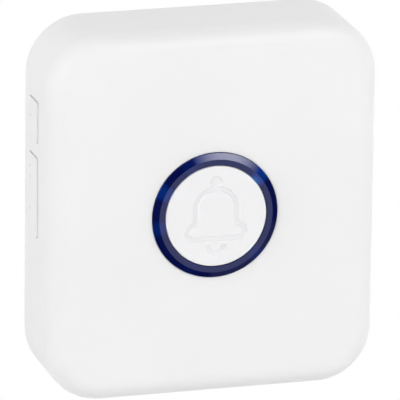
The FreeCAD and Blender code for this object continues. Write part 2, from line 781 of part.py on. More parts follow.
def make_bell_button():
    """The white cup in the ring: flat face, skirt with a keeping flange, and a switch post."""
    body = place(new_body("bell_button"))
    face_radius = ring_inner_radius - S.button_gap
    flange_radius = ring_inner_radius + S.button_lip
    flange_top = ring_back - S.button_seat_gap
    flange_back = flange_top - S.button_flange
    under_face = ring_top - S.button_face
    cup = turned(
        body,
        [
            (0, ring_top),
            (0, plunger_top),
            (S.stem_radius, plunger_top),
            (S.stem_radius, under_face),
            (face_radius - S.button_skirt, under_face),
            (face_radius - S.button_skirt, flange_back),
            (flange_radius, flange_back),
            (flange_radius, flange_top),
            (face_radius, flange_top),
            (face_radius, ring_top),
        ],
    )
    fillet(body, cup, edges_at(cup, "y", -ring_top), S.button_edge)
    engrave_bell(body)


def engrave_bell(body):
    """Shallow lines that draw a plain bell: dome and rim in one line, a clapper and a knob."""
    before = body.Tip.Shape.Volume
    path = bell_path(body, ring_top)
    profile = side_sketch(body)
    line_section(profile, -(S.rim_drop + S.rim_radius), S.groove_width)
    groove = body.newObject("PartDesign::SubtractivePipe", "bell_groove")
    groove.Profile = profile
    groove.Spine = (path, [f"Edge{n}" for n in range(1, path.GeometryCount + 1)])
    doc.recompute()
    check_cut(body, before)

    clapper = side_sketch(body)
    line_section(clapper, -(S.clapper_drop + S.clapper_radius), S.clapper_width)
    cut_turned(body, clapper, -S.clapper_drop, CLAPPER_SWEEP)

    knob = side_sketch(body)
    edge, foot = S.knob_up + S.knob_radius, S.knob_up + S.knob_radius - S.groove_slope
    wall = [(groove_floor, S.knob_up), (groove_floor, foot), (-ring_top, edge)]
    polygon(knob, [*wall, (groove_open, edge), (groove_open, S.knob_up)])
    cut_turned(body, knob, S.knob_up, 360)


def line_section(sketch, middle, width):
    """Section of an engraved line at a height: a flat floor, sloping walls, open to the front."""
    low, high = middle - width / 2, middle + width / 2
    floor = [(groove_floor, high - S.groove_slope), (groove_floor, low + S.groove_slope)]
    polygon(sketch, [*floor, (-ring_top, low), (groove_open, low), (groove_open, high), (-ring_top, high)])


def cut_turned(body, section, up, angle):
    """Cut a side sketch, turned about the line that runs straight out of the front at a height."""
    before = body.Tip.Shape.Volume
    line = section.addGeometry(Part.LineSegment(vector(-1, up), vector(0, up)), True)
    section.addConstraint(Sketcher.Constraint("Horizontal", line))
    pin_point(section, line, 2, 0, up)
    bound(section, Sketcher.Constraint("Distance", line, 1.0), sized(1))
    cut = body.newObject("PartDesign::Groove", f"{body.Name}_cut")
    cut.Profile = section
    cut.ReferenceAxis = (section, ["Axis0"])
    cut.Midplane = True
    cut.Angle = angle
    doc.recompute()
    check_cut(body, before)


def bell_path(body, depth):
    """The middle of the bell's line: a dome, straight sides, flares and a rim with round ends."""
    sketch = front_sketch(body, depth)
    side, reach, rim, flare = S.dome_radius, S.rim_reach, S.rim_radius, S.flare_radius
    low = -(S.rim_drop + rim)
    flare_across = side.number + flare.number
    span = rim.number + flare.number
    flare_offset = flare_across - reach.number
    flare_up = math.sqrt(span**2 - flare_offset**2) - S.rim_drop.number
    meet = math.atan2(flare_up + S.rim_drop.number, flare_offset)

    right_rim_line = Part.LineSegment(vector(0, low), vector(reach, low))
    right_side = Part.LineSegment(vector(side, flare_up), vector(side, S.dome_up))
    left_side = Part.LineSegment(vector(-side, S.dome_up), vector(-side, flare_up))
    left_rim_line = Part.LineSegment(vector(-reach, low), vector(0, low))
    chain = [
        (sketch.addGeometry(right_rim_line, False), 1, 2),
        (arc(sketch, reach, -S.rim_drop, rim, -math.pi / 2, meet), 1, 2),
        (arc(sketch, flare_across, flare_up, flare, math.pi, math.pi + meet), 2, 1),
        (sketch.addGeometry(right_side, False), 1, 2),
        (arc(sketch, 0, S.dome_up, side, 0, math.pi), 1, 2),
        (sketch.addGeometry(left_side, False), 1, 2),
        (arc(sketch, -flare_across, flare_up, flare, -meet, 0), 2, 1),
        (arc(sketch, -reach, -S.rim_drop, rim, math.pi - meet, 3 * math.pi / 2), 1, 2),
        (sketch.addGeometry(left_rim_line, False), 1, 2),
    ]
    for (shape, _, end), (following, start, _) in zip(chain, chain[1:]):
        tangent(sketch, shape, end, following, start)
    first, last = chain[0][0], chain[-1][0]
    pin_point(sketch, first, 1, 0, low)
    pin_point(sketch, last, 2, 0, low)
    rim_ends = ((chain[1][0], reach), (chain[7][0], -reach))
    for shape, across in rim_ends:
        pin_point(sketch, shape, 3, across, -S.rim_drop)
    for shape in (chain[2][0], chain[6][0]):
        bound(sketch, Sketcher.Constraint("Radius", shape, flare.number), flare)
    dome = chain[4][0]
    pin_point(sketch, dome, 3, 0, S.dome_up)
    bound(sketch, Sketcher.Constraint("Radius", dome, side.number), side)
    for shape in (chain[3][0], chain[5][0]):
        sketch.addConstraint(Sketcher.Constraint("Vertical", shape))
    doc.recompute()
    return sketch


# Switches: built looking to the front, then turned where they look to the left


def make_switches(name, base, places):
    """Square switch bodies with a round well for the plunger, one at each place."""
    body = base(new_body(name))
    sketch = front_sketch(body)
    for x, y in places:
        rectangle(sketch, sized(x), sized(y), S.switch_side, S.switch_side)
    pad(body, sketch, S.switch_tall)
    sketch = front_sketch(body, S.switch_tall)
    for x, y in places:
        circle(sketch, x, y, S.plunger_radius + S.plunger_gap)
    pocket(body, sketch, S.plunger_sink + S.plunger_room, along=False)


def make_plungers(name, base, places):
    """The round plungers of the switches, at rest."""
    body = base(new_body(name))
    sketch = front_sketch(body, S.switch_tall - S.plunger_sink)
    for x, y in places:
        circle(sketch, x, y, S.plunger_radius)
    pad(body, sketch, S.plunger_sink + S.plunger_rise)


def on_main_board(body):
    """At the middle of the main board's front."""
    return place(body, depth=board_front)


def on_side_board(body):
    """On the side board's outer face, in the middle of the windows' depth, facing left."""
    facing_left = FreeCAD.Rotation(FreeCAD.Vector(0, 0, 1), -90)
    return place(body, side_board_face, window_middle, 0, facing_left)


# Side buttons


def make_volume_button():
    """A cap through the wall, a flange that keeps it in, and a post for the switch."""
    body = place(new_body("volume_button"), 0, window_middle, S.volume_up)
    cap_width, cap_length = S.window_width - 2 * S.side_gap, S.volume_length - 2 * S.side_gap
    flange_outer = -(half_width - S.wall - S.side_seat_gap)
    sketch = side_sketch(body, cap_outer)
    rounded(sketch, 0, 0, cap_width, cap_length, S.window_corner - S.side_gap)
    cap = pad(body, sketch, flange_outer - cap_outer)
    fillet(body, cap, edges_at(cap, "x", cap_outer), S.side_edge)
    sketch = side_sketch(body, flange_outer)
    rectangle(sketch, sized(0), sized(0), cap_width, S.volume_length + 2 * S.side_flange)
    pad(body, sketch, S.side_flange)
    sketch = side_sketch(body, flange_outer + S.side_flange)
    circle(sketch, 0, 0, S.side_stem_radius)
    pad(body, sketch, side_plunger_top - flange_outer - S.side_flange)


def make_melody_rocker():
    """A long cap on a cross pin, with a nib near each end."""
    body = place(new_body("melody_rocker"), 0, window_middle, S.rocker_up)
    cap_width, cap_length = S.window_width - 2 * S.side_gap, S.rocker_length - 2 * S.side_gap
    inner = -(half_width - S.wall - S.rocker_inner_gap)
    sketch = side_sketch(body, cap_outer)
    rounded(sketch, 0, 0, cap_width, cap_length, S.window_corner - S.side_gap)
    cap = pad(body, sketch, inner - cap_outer)
    fillet(body, cap, edges_at(cap, "x", cap_outer), S.side_edge)
    sketch = side_sketch(body, inner)
    for up in (S.rocker_reach, -S.rocker_reach):
        circle(sketch, 0, up, S.nib_radius)
    pad(body, sketch, side_plunger_top - S.nib_gap - inner)
    sketch = side_sketch(body, inner)
    rectangle(sketch, sized(0), sized(0), cap_width, 2 * S.rocker_lug_radius)
    pad(body, sketch, pivot_across - inner)
    sketch = front_sketch(body, -cap_width / 2)
    circle(sketch, pivot_across, 0, S.rocker_lug_radius)
    pad(body, sketch, cap_width)
    sketch = front_sketch(body, -cap_width / 2)
    circle(sketch, pivot_across, 0, S.rocker_pin_radius + S.rocker_pin_play)
    pocket(body, sketch, cap_width)


def make_rocker_pin():
    """A plain pin that the two halves of the housing hold between them."""
    pin = name_piece(doc.addObject("Part::Cylinder", "rocker_pin"), "rocker_pin")
    start = foot_end - S.pin_sink
    bind(pin, "Radius", S.rocker_pin_radius)
    bind(pin, "Height", ear_start + S.ear_thickness - start)
    place(pin, pivot_across, start, S.rocker_up, FreeCAD.Rotation(FreeCAD.Vector(1, 0, 0), 90))


# Boards


def make_main_board():
    body = place(new_body("main_board"))
    sketch = front_sketch(body, board_rear)
    rounded(sketch, 0, 0, 2 * board_half_width, 2 * board_half_height, S.board_corner)
    pad(body, sketch, S.board_thickness)
    sketch = front_sketch(body, board_rear)
    for across, up in pillars:
        circle(sketch, across, up, S.pillar_radius + S.board_notch_gap)
    for across, up in board_screw_places:
        circle(sketch, across, up, S.board_screw_radius + S.board_hole_gap)
    pocket(body, sketch, S.board_thickness)


def make_board_screws():
    body = place(new_body("board_screws"))
    sketch = front_sketch(body, board_rear)
    for across, up in board_screw_places:
        circle(sketch, across, up, S.board_screw_radius)
    pad(body, sketch, S.board_thickness + S.board_screw_bite)
    sketch = front_sketch(body, board_rear)
    for across, up in board_screw_places:
        circle(sketch, across, up, S.board_screw_head)
    pad(body, sketch, S.board_screw_cap, along=False)


def make_side_board():
    """The small upright board behind the side windows, and the header that joins it."""
    low = S.rocker_up - S.rocker_length / 2 - S.side_board_margin
    high = S.volume_up + S.volume_length / 2 + S.side_board_margin
    centre = side_board_face + S.side_board_thickness / 2
    reach = board_rear - S.rear_plate - S.side_board_gap
    board_box = (S.side_board_thickness, high - low, reach)
    box("side_board", (centre, board_rear, (low + high) / 2), board_box)
    centre = side_board_face + S.side_board_thickness + S.header_side / 2
    header_box = (S.header_side, S.header_length, S.header_side)
    box("side_header", (centre, board_rear, (low + high) / 2), header_box)


# Speaker, built about its own centre


def speaker_body(name):
    return place(new_body(name), 0, S.rear_plate, -speaker_drop)


def make_speaker():
    rim_inner = S.speaker_radius - S.speaker_rim
    front = S.gasket_thickness
    rim_top = front + S.speaker_rim_thickness
    back = front + S.speaker_tall
    gasket = speaker_body("speaker_gasket")
    turned(
        gasket,
        [(rim_inner, 0), (S.speaker_radius, 0), (S.speaker_radius, front), (rim_inner, front)],
    )
    frame = speaker_body("speaker_frame")
    turned(
        frame,
        [
            (rim_inner, front),
            (S.speaker_radius, front),
            (S.speaker_radius, rim_top),
            (rim_inner + S.speaker_rim_thickness, rim_top),
            (S.basket_radius + S.speaker_rim_thickness, back),
            (S.magnet_radius, back),
            (S.magnet_radius, back - S.speaker_rim_thickness),
            (S.basket_radius, back - S.speaker_rim_thickness),
            (rim_inner, rim_top),
        ],
    )
    sketch = front_sketch(frame, front)
    tab_middle = S.speaker_radius + (S.tab_reach - S.speaker_rim) / 2
    rectangle(sketch, sized(0), tab_middle, S.tab_width, S.tab_reach + S.speaker_rim)
    pad(frame, sketch, S.speaker_rim_thickness)
    cone = speaker_body("speaker_cone")
    apex = (front + back) / 2
    turned(
        cone,
        [
            (0, apex),
            (S.magnet_radius / 2, apex),
            (rim_inner, front),
            (rim_inner, front + S.cone_thickness),
            (S.magnet_radius / 2, apex + S.cone_thickness),
            (0, apex + S.cone_thickness),
        ],
    )
    magnet = speaker_body("speaker_magnet")
    turned(
        magnet,
        [
            (0, apex + S.cone_thickness),
            (S.magnet_radius / 2, apex + S.cone_thickness),
            (S.magnet_radius / 2, back - S.speaker_rim_thickness),
            (S.magnet_radius, back - S.speaker_rim_thickness),
            (S.magnet_radius, back + S.magnet_rise),
            (0, back + S.magnet_rise),
        ],
    )
    leads = speaker_body("speaker_leads")
    sketch = front_sketch(leads, rim_top)
    for across in (S.lead_spacing / 2, -S.lead_spacing / 2):
        circle(sketch, across, S.speaker_radius + S.tab_reach / 2, S.lead_radius)
    pad(leads, sketch, board_rear - S.rear_plate - rim_top)


# Plug


def make_plug_pins():
    """Two round pins with a head inside the plug body and a tail for the lead."""
    body = place(new_body("plug_pins"), pin_across, 0, S.plug_rise)
    floor = boss_floor_inner
    face = -S.boss_length
    sleeve_end = face - S.sleeve_length
    tip = face - S.pin_length
    pin = turned(
        body,
        [
            (0, tail_end),
            (S.tail_radius, tail_end),
            (S.tail_radius, floor + S.pin_head),
            (S.pin_head_radius, floor + S.pin_head),
            (S.pin_head_radius, floor),
            (S.core_radius, floor),
            (S.core_radius, sleeve_end),
            (S.pin_radius, sleeve_end),
            (S.pin_radius, tip),
            (0, tip),
        ],
    )
    tip_edge = fillet(body, pin, edges_at(pin, "y", -tip), S.tip_radius)
    repeat_to_left(body, [pin, tip_edge])


def make_pin_sleeves():
    """Insulation round the pins, from inside the plug body to the bare metal."""
    body = place(new_body("pin_sleeves"), pin_across, 0, S.plug_rise)
    inner, outer = S.core_radius + S.fit_gap, S.sleeve_radius
    start = boss_floor_inner - S.fit_gap
    end = -S.boss_length - S.sleeve_length + S.fit_gap
    sleeve = turned(body, [(inner, start), (outer, start), (outer, end), (inner, end)])
    repeat_to_left(body, [sleeve])


def repeat_to_left(body, features):
    """The same features again, one pin spacing to the left."""
    pattern = body.newObject("PartDesign::LinearPattern", f"{body.Name}_pair")
    pattern.Originals = features
    across = next(f for f in body.Origin.OriginFeatures if f.Role == "X_Axis")
    pattern.Direction = (across, [""])
    pattern.Reversed = True
    bind(pattern, "Length", S.pin_spacing)
    pattern.Occurrences = 2
    body.Tip = pattern
    doc.recompute()


def make_pin_clamp():
    """A bar across the pin heads, and its screw."""
    body = place(new_body("pin_clamp"))
    start = boss_floor_inner + S.pin_head
    inset = S.boss_wall + S.clamp_margin
    sketch = front_sketch(body, start)
    width, height = S.boss_width - 2 * inset, S.boss_height - 2 * inset
    rounded(sketch, 0, S.plug_rise, width, height, S.boss_corner - inset)
    pad(body, sketch, S.clamp_thickness)
    sketch = front_sketch(body, start)
    for across in (pin_across, -pin_across):
        circle(sketch, across, S.plug_rise, S.tail_radius + S.fit_gap)
    circle(sketch, 0, S.plug_rise, S.clamp_screw_radius + S.fit_gap)
    pocket(body, sketch, S.clamp_thickness)

    screw = place(new_body("clamp_screw"))
    sketch = front_sketch(screw, clamp_front)
    circle(sketch, 0, S.plug_rise, S.clamp_screw_radius)
    pad(screw, sketch, S.clamp_thickness + S.clamp_screw_bite, along=False)
    sketch = front_sketch(screw, clamp_front)
    circle(sketch, 0, S.plug_rise, S.clamp_screw_head)
    pad(screw, sketch, S.clamp_screw_cap)


def make_mains_leads():
    """Insulated leads from the pins' tails to the main board."""
    body = place(new_body("mains_leads"))
    sketch = front_sketch(body, tail_end)
    for across in (pin_across, -pin_across):
        circle(sketch, across, S.plug_rise, S.mains_lead_radius)
    pad(body, sketch, board_rear - tail_end)


# Parts on the rear of the main board


def can(name, across, up, radius, tall):
    """A capacitor can that stands on the board, with a rolled edge."""
    body = place(new_body(name), across, board_rear, up)
    sketch = front_sketch(body)
    circle(sketch, 0, 0, radius)
    stand = pad(body, sketch, tall, along=False)
    fillet(body, stand, edges_at(stand, "y", tall), S.can_edge)


def lying(name, across, up, radius, length):
    """A round part that lies across the board."""
    body = place(new_body(name), across - length / 2, board_rear, up)
    sketch = side_sketch(body)
    circle(sketch, radius, 0, radius)
    pad(body, sketch, length)


def make_power_parts():
    column = board_half_width - S.column_inset
    film_up = -(S.film_thickness / 2 + 2 * S.part_gap)
    reservoir_up = S.reservoir_radius
    filter_up = 2 * S.reservoir_radius + S.part_gap + S.filter_radius
    diode_up = filter_up + S.filter_radius + S.part_gap + S.diode_length / 2
    film_box = (S.film_width, S.film_thickness, tall_part)
    box("film_capacitor", (column, board_rear, film_up), film_box)
    can("reservoir_capacitor", column, reservoir_up, S.reservoir_radius, tall_part)
    can("filter_capacitor", column, filter_up, S.filter_radius, low_part)
    diodes = place(new_body("rectifier_diodes"), column, board_rear, diode_up)
    sketch = plan_sketch(diodes, -S.diode_length / 2)
    for number in range(DIODE_COUNT):
        circle(sketch, -number * S.diode_pitch, S.diode_radius, S.diode_radius)
    pad(diodes, sketch, S.diode_length)

    row_up = board_half_height - S.row_inset
    fuse_across = S.fuse_length / 2 + S.part_gap
    lying("fuse_resistor", fuse_across, row_up, S.fuse_radius, S.fuse_length)
    varistor_across = -S.varistor_thickness / 2
    lying("varistor", varistor_across, row_up, S.varistor_radius, S.varistor_thickness)
    inductor_across = -(S.varistor_thickness + S.part_gap + S.inductor_radius)
    inductor = place(new_body("drum_inductor"), inductor_across, board_rear, row_up)
    turned(
        inductor,
        [
            (0, 0),
            (S.inductor_radius, 0),
            (S.inductor_radius, -S.inductor_flange),
            (S.inductor_winding, -S.inductor_flange),
            (S.inductor_winding, S.inductor_flange - low_part),
            (S.inductor_radius, S.inductor_flange - low_part),
            (S.inductor_radius, -low_part),
            (0, -low_part),
        ],
    )


def make_chips():
    column = board_half_width - S.column_inset
    controller_up = -(S.film_thickness + 3 * S.part_gap) - S.controller_length / 2
    controller_box = (S.controller_width, S.controller_length, S.chip_tall)
    box("controller_chip", (column, board_rear, controller_up), controller_box)
    melody_box = (S.melody_chip_width, S.melody_chip_length, S.chip_tall)
    box("melody_chip", (sized(0), board_rear, sized(0)), melody_box)


def make_radio():
    """A small radio board beside the side board, with its chip, crystal and coil antenna."""
    header_end = side_board_face + S.side_board_thickness + S.header_side
    across = header_end + S.part_gap + S.radio_width / 2
    board_size = (S.radio_width, S.radio_length, S.radio_thickness)
    box("radio_board", (across, board_rear, sized(0)), board_size)
    radio_rear = board_rear - S.radio_thickness
    quarter = S.radio_length / 4
    chip_size = (S.radio_chip_side, S.radio_chip_side, S.chip_tall)
    box("radio_chip", (across, radio_rear, quarter), chip_size)
    crystal_size = (S.crystal_length, S.crystal_width, S.crystal_tall)
    box("radio_crystal", (across, radio_rear, -quarter), crystal_size)

    antenna = doc.addObject("Part::Helix", "antenna_path")
    bind(antenna, "Pitch", S.antenna_pitch)
    bind(antenna, "Height", ANTENNA_TURNS * S.antenna_pitch)
    bind(antenna, "Radius", S.antenna_radius)
    wire = doc.addObject("Part::RegularPolygon", "antenna_wire")
    wire.Polygon = WIRE_SIDES
    bind(wire, "Circumradius", S.antenna_wire)
    wire.Placement.Rotation = FreeCAD.Rotation(FreeCAD.Vector(1, 0, 0), 90)
    bind(wire, "Placement.Base.x", S.antenna_radius)
    coil = name_piece(doc.addObject("Part::Sweep", "coil_antenna"), "coil_antenna")
    coil.Sections = [wire]
    coil.Spine = (antenna, ["Edge1"])
    coil.Solid = True
    coil.Frenet = True
    low = -(S.radio_length / 2 + S.part_gap + S.antenna_wire + ANTENNA_TURNS * S.antenna_pitch)
    stand = S.antenna_radius + S.antenna_wire + S.fit_gap
    place(coil, across - S.antenna_radius, board_rear - stand, low)


def build():
    make_front_cover()
    make_rear_cover()
    make_housing_screws()
    make_light_ring()
    make_ring_diffuser()
    make_ring_lamps()
    make_bell_button()
    melody_places = [(0, S.rocker_up + S.rocker_reach), (0, S.rocker_up - S.rocker_reach)]
    switch_sets = (
        ("bell_switch", "bell_plunger", on_main_board, [(0, 0)]),
        ("volume_switch", "volume_plunger", on_side_board, [(0, S.volume_up)]),
        ("melody_switches", "melody_plungers", on_side_board, melody_places),
    )
    for switch, plunger, base, places in switch_sets:
        make_switches(switch, base, places)
        make_plungers(plunger, base, places)
    make_volume_button()
    make_melody_rocker()
    make_rocker_pin()
    make_main_board()
    make_board_screws()
    make_side_board()
    make_speaker()
    make_plug_pins()
    make_pin_sleeves()
    make_pin_clamp()
    make_mains_leads()
    make_power_parts()
    make_chips()
    make_radio()


def check_and_export():
    """Stop if anything failed, then write one file for each piece."""
    doc.recompute()
    for thing in doc.Objects:
        if "Invalid" in thing.State or "Error" in thing.State:
            raise RuntimeError(f"{thing.Label} failed: {thing.State}")
    for piece in pieces:
        if piece.Shape.isNull() or not piece.Shape.isValid():
            raise RuntimeError(f"{piece.Label} has no valid shape")
    os.makedirs("parts", exist_ok=True)
    for piece in pieces:
        piece.Shape.exportStep(f"parts/{piece.Label}.step")


build()
check_and_export()
print(f"{len(pieces)} pieces written")
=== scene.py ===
"""The looks of a plug-in wireless door chime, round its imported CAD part. Metres, in the row frame."""

import math

import bpy
from mathutils import Matrix, Vector


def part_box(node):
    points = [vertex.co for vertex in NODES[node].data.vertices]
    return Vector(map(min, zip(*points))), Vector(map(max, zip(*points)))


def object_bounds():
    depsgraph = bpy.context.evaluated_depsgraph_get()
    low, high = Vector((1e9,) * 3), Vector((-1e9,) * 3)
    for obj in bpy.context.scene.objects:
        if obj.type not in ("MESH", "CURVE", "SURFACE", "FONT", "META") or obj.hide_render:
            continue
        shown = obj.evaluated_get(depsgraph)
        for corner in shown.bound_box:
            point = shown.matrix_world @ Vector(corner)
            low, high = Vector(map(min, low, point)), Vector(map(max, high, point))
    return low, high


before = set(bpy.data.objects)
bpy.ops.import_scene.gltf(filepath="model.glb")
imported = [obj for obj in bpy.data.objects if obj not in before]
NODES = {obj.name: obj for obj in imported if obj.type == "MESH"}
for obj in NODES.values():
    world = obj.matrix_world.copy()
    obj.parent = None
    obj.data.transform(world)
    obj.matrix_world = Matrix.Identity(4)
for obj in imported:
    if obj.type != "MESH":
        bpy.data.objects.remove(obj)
CAD_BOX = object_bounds()
MM = 0.001
MICRON = 0.000001

# The camera, fitted to the photograph. It aims beside the middle of the housing's rear plane, by so much
# to the right and up in its own view.
CAMERA_AZIMUTH = math.radians(-16.435)
CAMERA_ELEVATION = math.radians(17.36)
CAMERA_ROLL = math.radians(0.744)
CAMERA_DISTANCE = 1488.6 * MM
CAMERA_AIM_RIGHT = 2.82 * MM
CAMERA_AIM_UP = -3.076 * MM
CAMERA_LENS = 572.7
CAMERA_SENSOR = 36.0

# The studio. A lamp's place and size are angles seen from the object, in degrees, and its level is its
# brightness, 1 being white. A fill lamp lights the object and isn't reflected in it. An even lamp and a
# faded one are reflected, and the faded one dims towards both ends of its width.
LAMP_DISTANCE = 0.8
LAMPS = (
    # name, azimuth, elevation, width, height, tilt, level, kind
    ("key", 33, 36, 66, 10, -24, 7.8, "faded"),
    ("left_fill", -62, 10, 50, 60, 0, 2.4, "fill"),
    ("right_fill", 70, 0, 50, 60, 0, 1.6, "fill"),
    ("top_card", -10, 72, 70, 34, 0, 1.1, "even"),
    ("low_fill", 0, -38, 70, 30, 0, 1.05, "fill"),
    ("low_card", 17, -18, 26, 24, 0, 1.0, "even"),
    ("low_strip", 72, -49, 22, 50, 0, 0.16, "even"),
)

# A faded lamp's level at its ends, as a share of the full one, and how far from its middle the full level
# reaches, as a share of its width.
FADED_LEVEL = 0.08
FADED_MIDDLE = 0.06

# The floor, far below, because the object hangs on a wall.
FLOOR_DROP = 650 * MM
FLOOR_SIZE = 6.0
FLOOR_GREY = 0.8
FLOOR_ROUGHNESS = 0.9

# The light tent's level in front of the object and behind it, and the levels that surfaces reflect: a dim
# studio in front and a white backdrop behind. The turn from one to the other is given by how far a
# direction points to the back, from -1 to 1.
TENT_FRONT = 0.03
TENT_BEHIND = 0.76
STUDIO_REFLECTION = 0.03
BACKDROP_REFLECTION = 1.0
TURN_START = -0.1
TURN_END = 0.5
WHITE = 1.0

# The lamps' glow, painted into the ring as emission: its angle in degrees round it from the right-hand
# side, and its strength. The first lamp's light is also painted as leaking out along the inner edge,
# brighter and closer to cyan.
RING_GLOWS = ((40, 1.0), (117, 0.2), (153, 0.75), (189, 0.4), (243, 0.1), (315, 0.28))
GLOW_CORE = math.radians(3)
GLOW_REACH = math.radians(9)
GLOW_LEVEL = 0.15
GLOW_COLOUR = (0.0, 0.16, 1.0)
LEAK_COLOUR = (0.0, 0.26, 1.0)
LEAK_GAIN = 0.9
LEAK_CORE = 0.3 * MM
LEAK_REACH = 0.9 * MM

# The ring. From its centre: where its flat band starts, where that bends into the bevel, and how softly
# the colour turns there. Then the stretch of the bevel that light from above shines through, painted in as
# a brighter navy, as an angle to either side of its middle, and the navy of the band, of the bevel and of
# that stretch. The band's navy is lighter and bluer than the bevel's, as painted light.
RING_INSIDE = 12.25 * MM
RING_BEND = 13.6 * MM
BEND_BLUR = 0.15 * MM
PAINTED_LIGHT_MIDDLE = math.radians(78)
PAINTED_LIGHT_REACH = math.radians(35)
PAINTED_LIGHT_CORE = 0.9 * PAINTED_LIGHT_REACH
BAND_NAVY = (0.0006, 0.005, 0.08)
BEVEL_NAVY = (0.0004, 0.003, 0.058)
PAINTED_LIGHT_NAVY = (0.0006, 0.012, 0.14)

# Painted shade: small grey dots along the side buttons' rear edge, where bits of the shadow in the gap
# behind them show. By their depth and height in millimetres, their radius and grey, and how far in from the
# buttons' outer faces the painted shade starts to fade and is gone.
GAP_SHADE_DOTS = ((-22.0, 8.2), (-22.0, -4.0), (-22.2, -6.5), (-22.4, -14.1))
DOT_RADIUS = 0.3 * MM
DOT_OUTSIDE = 1.3 * DOT_RADIUS
DOT_SHADE = (0.6, 0.6, 0.61)
SHADE_FADES = 1 * MM
SHADE_GONE = 2 * MM

# The refractive index of plastics and glazes.
PLASTIC_IOR = 1.5

# A noise's values lie mostly between these.
NOISE_LOW = 0.3
NOISE_HIGH = 0.7

# How near an edge counts as the edge, and how alike the surface's own direction and the one blurred over
# that reach are there and on a flat, as a cosine.
EDGE_REACH = 0.25 * MM
EDGE_ALIKE = 0.85
FLAT_ALIKE = 0.98

# Moulded plastic: the size of its patches of tone and of gloss, how far the roughness goes below and above
# its middle in them, and what an edge adds to it.
TONE_PATCH = 25 * MM
GLOSS_PATCH = 6 * MM
GLOSS_BELOW = 0.04
GLOSS_ABOVE = 0.05
EDGE_POLISH = -0.08

# Pale plastic: the share of the light that wanders inside it, and how far.
INNER_LIGHT = 0.3
INNER_REACH = 1.0 * MM

# Metal: the size of its lines, and how far the roughness goes below and above its middle in them. Then the
# size of its stains, the noise's values where they start and are full, how dark they are, and what they add
# to the roughness. Last, how bright an edge is.
LINE_SIZE = 0.25 * MM
LINES_BELOW = 0.06
LINES_ABOVE = 0.08
STAIN_SIZE = 4 * MM
STAIN_STARTS = 0.45
STAIN_FULL = 0.75
STAIN_SHADE = 0.86
STAIN_ROUGHNESS = 0.08
EDGE_SHADE = 1.12

# Dust on black plastic: its size, the noise's values where it starts and is full, its share and its grey.
DUST_SIZE = 2 * MM
DUST_STARTS = 0.5
DUST_FULL = 0.8
DUST_SHARE = 0.25
DUST_GREY = (0.25, 0.25, 0.25)

# Circuit boards: the scale of their net of tracks, a track's width and a row's height as shares of it, how
# soft a track's sides are, and how high it stands. Then the size and height of the glass weave.
TRACK_SCALE = 9 * MM
TRACK_WIDTH = 0.035
TRACK_ROW = 0.22
TRACK_SOFTNESS = 0.2
TRACK_HEIGHT = 30 * MICRON
WEAVE_SIZE = 0.45 * MM
WEAVE_HEIGHT = 8 * MICRON

# The light stripe on a capacitor's sleeve: how far its surface has to face right.
STRIPE_STARTS = 0.90
STRIPE_FULL = 0.92


def direction(azimuth, elevation):
    """From the object towards something: azimuth 0 is in front of it, 90 to its right."""
    flat = math.cos(elevation)
    return Vector((math.sin(azimuth) * flat, -math.cos(azimuth) * flat, math.sin(elevation)))


def facing(back, roll=0.0):
    """The turn of a camera or lamp whose back is towards that direction."""
    right = Vector((0, 0, 1)).cross(back).normalized()
    up = back.cross(right)
    across = right * math.cos(roll) + up * math.sin(roll)
    return Matrix((across, back.cross(across), back)).transposed()


def centre_of(node):
    low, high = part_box(node)
    return (low + high) / 2


def put(name, data, place, turn):
    thing = bpy.data.objects.new(name, data)
    bpy.context.scene.collection.objects.link(thing)
    thing.matrix_world = Matrix.Translation(place) @ turn.to_4x4()
    return thing


# Materials


class Nodes:
    """A node tree being made."""

    def __init__(self, tree):
        self.tree = tree

    def add(self, kind, feeds=(), **settings):
        node = self.tree.nodes.new(kind)
        for name, value in settings.items():
            setattr(node, name, value)
        for socket, source in dict(feeds).items():
            self.feed(node.inputs[socket], source)
        return node

    def feed(self, socket, source):
        if isinstance(source, bpy.types.NodeSocket):
            self.tree.links.new(source, socket)
        else:
            socket.default_value = (*source, 1.0) if socket.type == "RGBA" else source

    def split(self, vector):
        return self.add("ShaderNodeSeparateXYZ", {0: vector}).outputs

    def math(self, operation, first, second=0.0):
        return self.add("ShaderNodeMath", {0: first, 1: second}, operation=operation).outputs[0]

    def between(self, source, low, high, start=NOISE_LOW, end=NOISE_HIGH, **settings):
        """The source, spread from start..end to low..high."""
        feeds = {"Value": source, "From Min": start, "From Max": end, "To Min": low, "To Max": high}
        return self.add("ShaderNodeMapRange", feeds, **settings).outputs["Result"]


